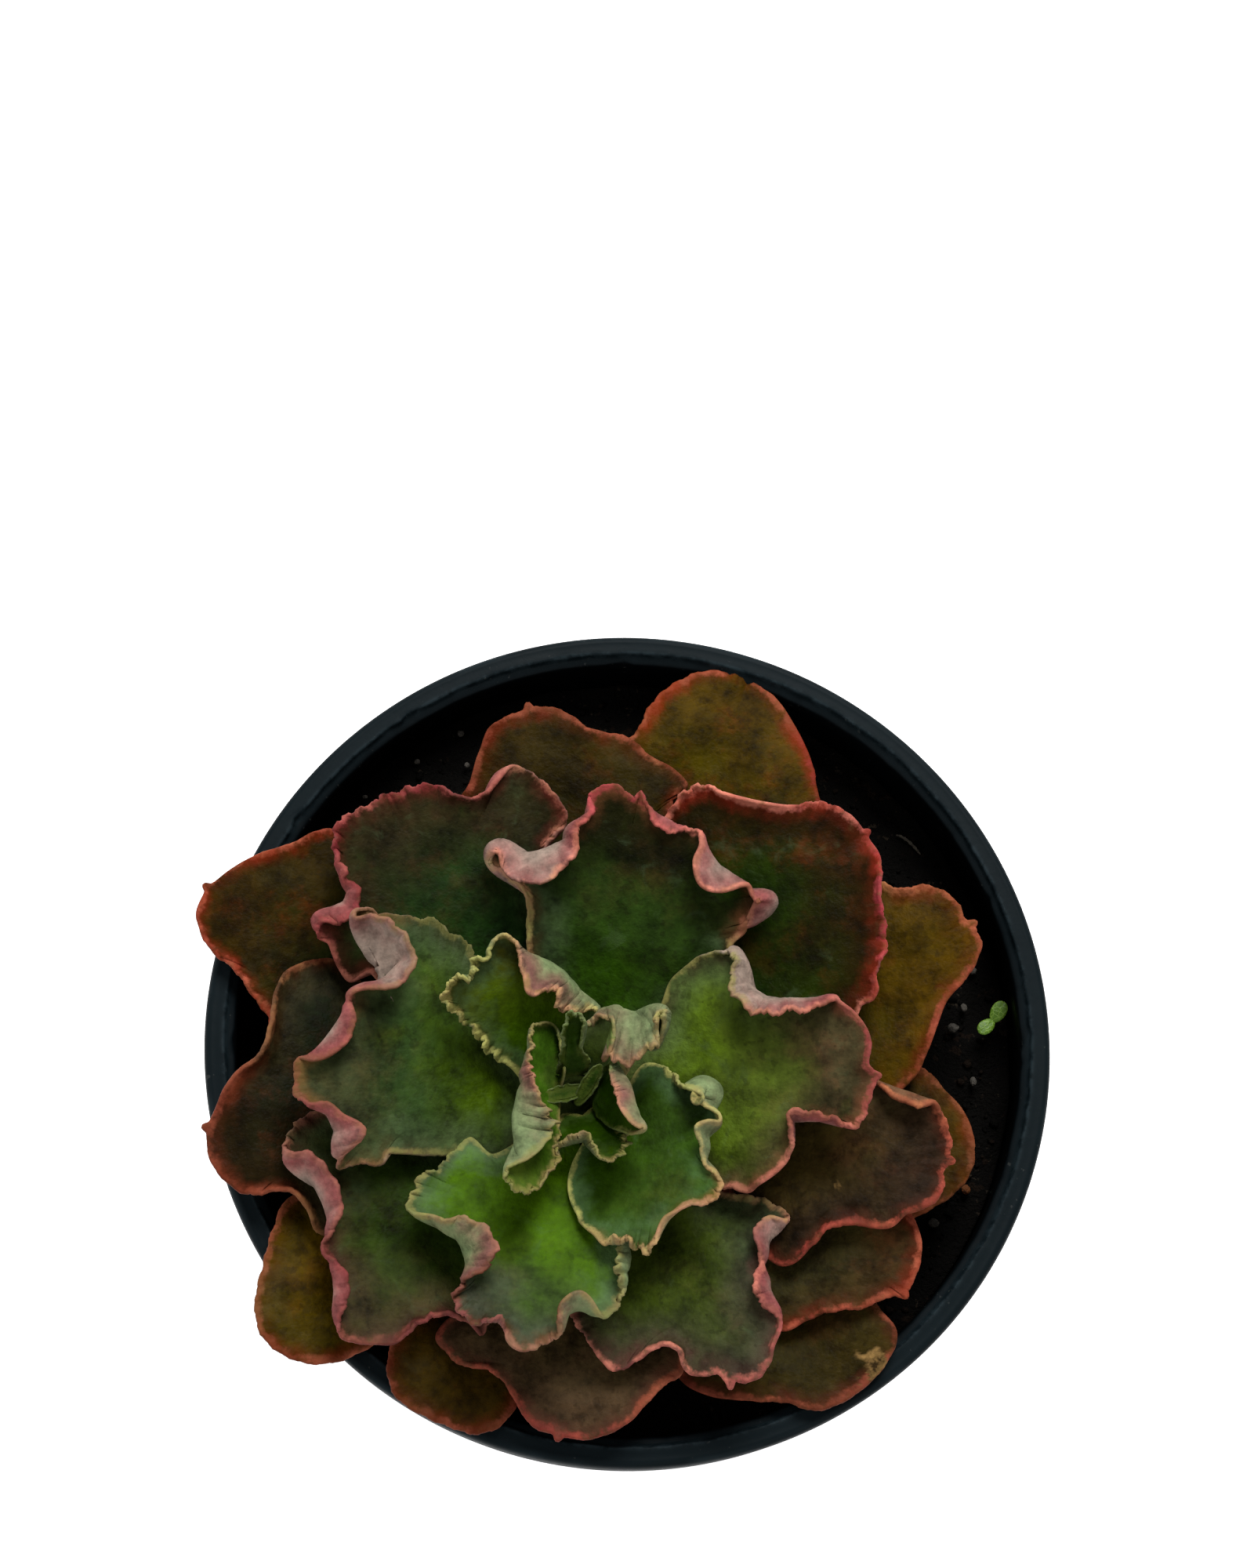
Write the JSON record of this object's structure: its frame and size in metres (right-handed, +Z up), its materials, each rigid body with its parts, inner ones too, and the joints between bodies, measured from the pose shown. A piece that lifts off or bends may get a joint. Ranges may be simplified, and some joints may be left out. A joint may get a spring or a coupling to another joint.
{
  "type": "potted succulent",
  "caption": "Low rosette succulent with ruffled, rolled leaf margins, growing off-centre in a tapered round nursery pot with a banded rim.",
  "frame": {"origin": "centre of the pot's flat underside", "axes": "+Z up out of the pot; +X to the right and +Y to the back as the plant is looked at from above with its stem off-centre to the front left"},
  "size_m": [0.1527, 0.152, 0.1378],
  "materials": {
    "pot_plastic": "satin black injection-moulded polypropylene, scuffed along the inner edge of the lip",
    "potting_mix": "damp, dark peat and composted bark mix",
    "stem": "woody succulent stem with old leaf scars",
    "leaf_old": "matt olive, golden and brown leaf with an orange-red margin",
    "leaf_mature": "waxy blue-green blade turning brown-purple outward, with a pink-red margin and pale pinkish underside",
    "leaf_young": "yellow-green blade with a cream to pink crimped margin",
    "grit": "rough pale grit",
    "bark": "dry orange-brown bark",
    "fibre": "dry pale plant fibre",
    "seedling": "smooth fresh green seed leaves"
  },
  "bodies": {
    "root": {"bark_crumb": "bark", "dry_fibre": "fibre", "grit_1": "grit", "grit_2": "grit", "grit_3": "grit", "grit_4": "grit", "grit_5": "grit", "grit_6": "grit", "grit_7": "grit", "grit_8": "grit", "grit_9": "grit", "leaf_bud_01": "leaf_young", "leaf_bud_02": "leaf_young", "leaf_heart_01": "leaf_young", "leaf_heart_02": "leaf_young", "leaf_heart_03": "leaf_young", "leaf_heart_04": "leaf_young", "leaf_inner_01": "leaf_young", "leaf_inner_02": "leaf_young", "leaf_inner_03": "leaf_young", "leaf_inner_04": "leaf_young", "leaf_middle_01": "leaf_mature", "leaf_middle_02": "leaf_mature", "leaf_middle_03": "leaf_mature", "leaf_middle_04": "leaf_mature", "leaf_middle_05": "leaf_mature", "leaf_middle_06": "leaf_mature", "leaf_middle_07": "leaf_mature", "leaf_outer_01": "leaf_old", "leaf_outer_02": "leaf_old", "leaf_outer_03": "leaf_old", "leaf_outer_04": "leaf_old", "leaf_outer_05": "leaf_old", "leaf_outer_06": "leaf_old", "leaf_outer_07": "leaf_old", "leaf_outer_08": "leaf_old", "leaf_outer_09": "leaf_old", "leaf_outer_10": "leaf_old", "leaf_outer_11": "leaf_old", "leaf_outer_12": "leaf_old", "pot": "pot_plastic", "seedling": "seedling", "soil": "potting_mix", "stem": "stem"}
  },
  "joints": []
}
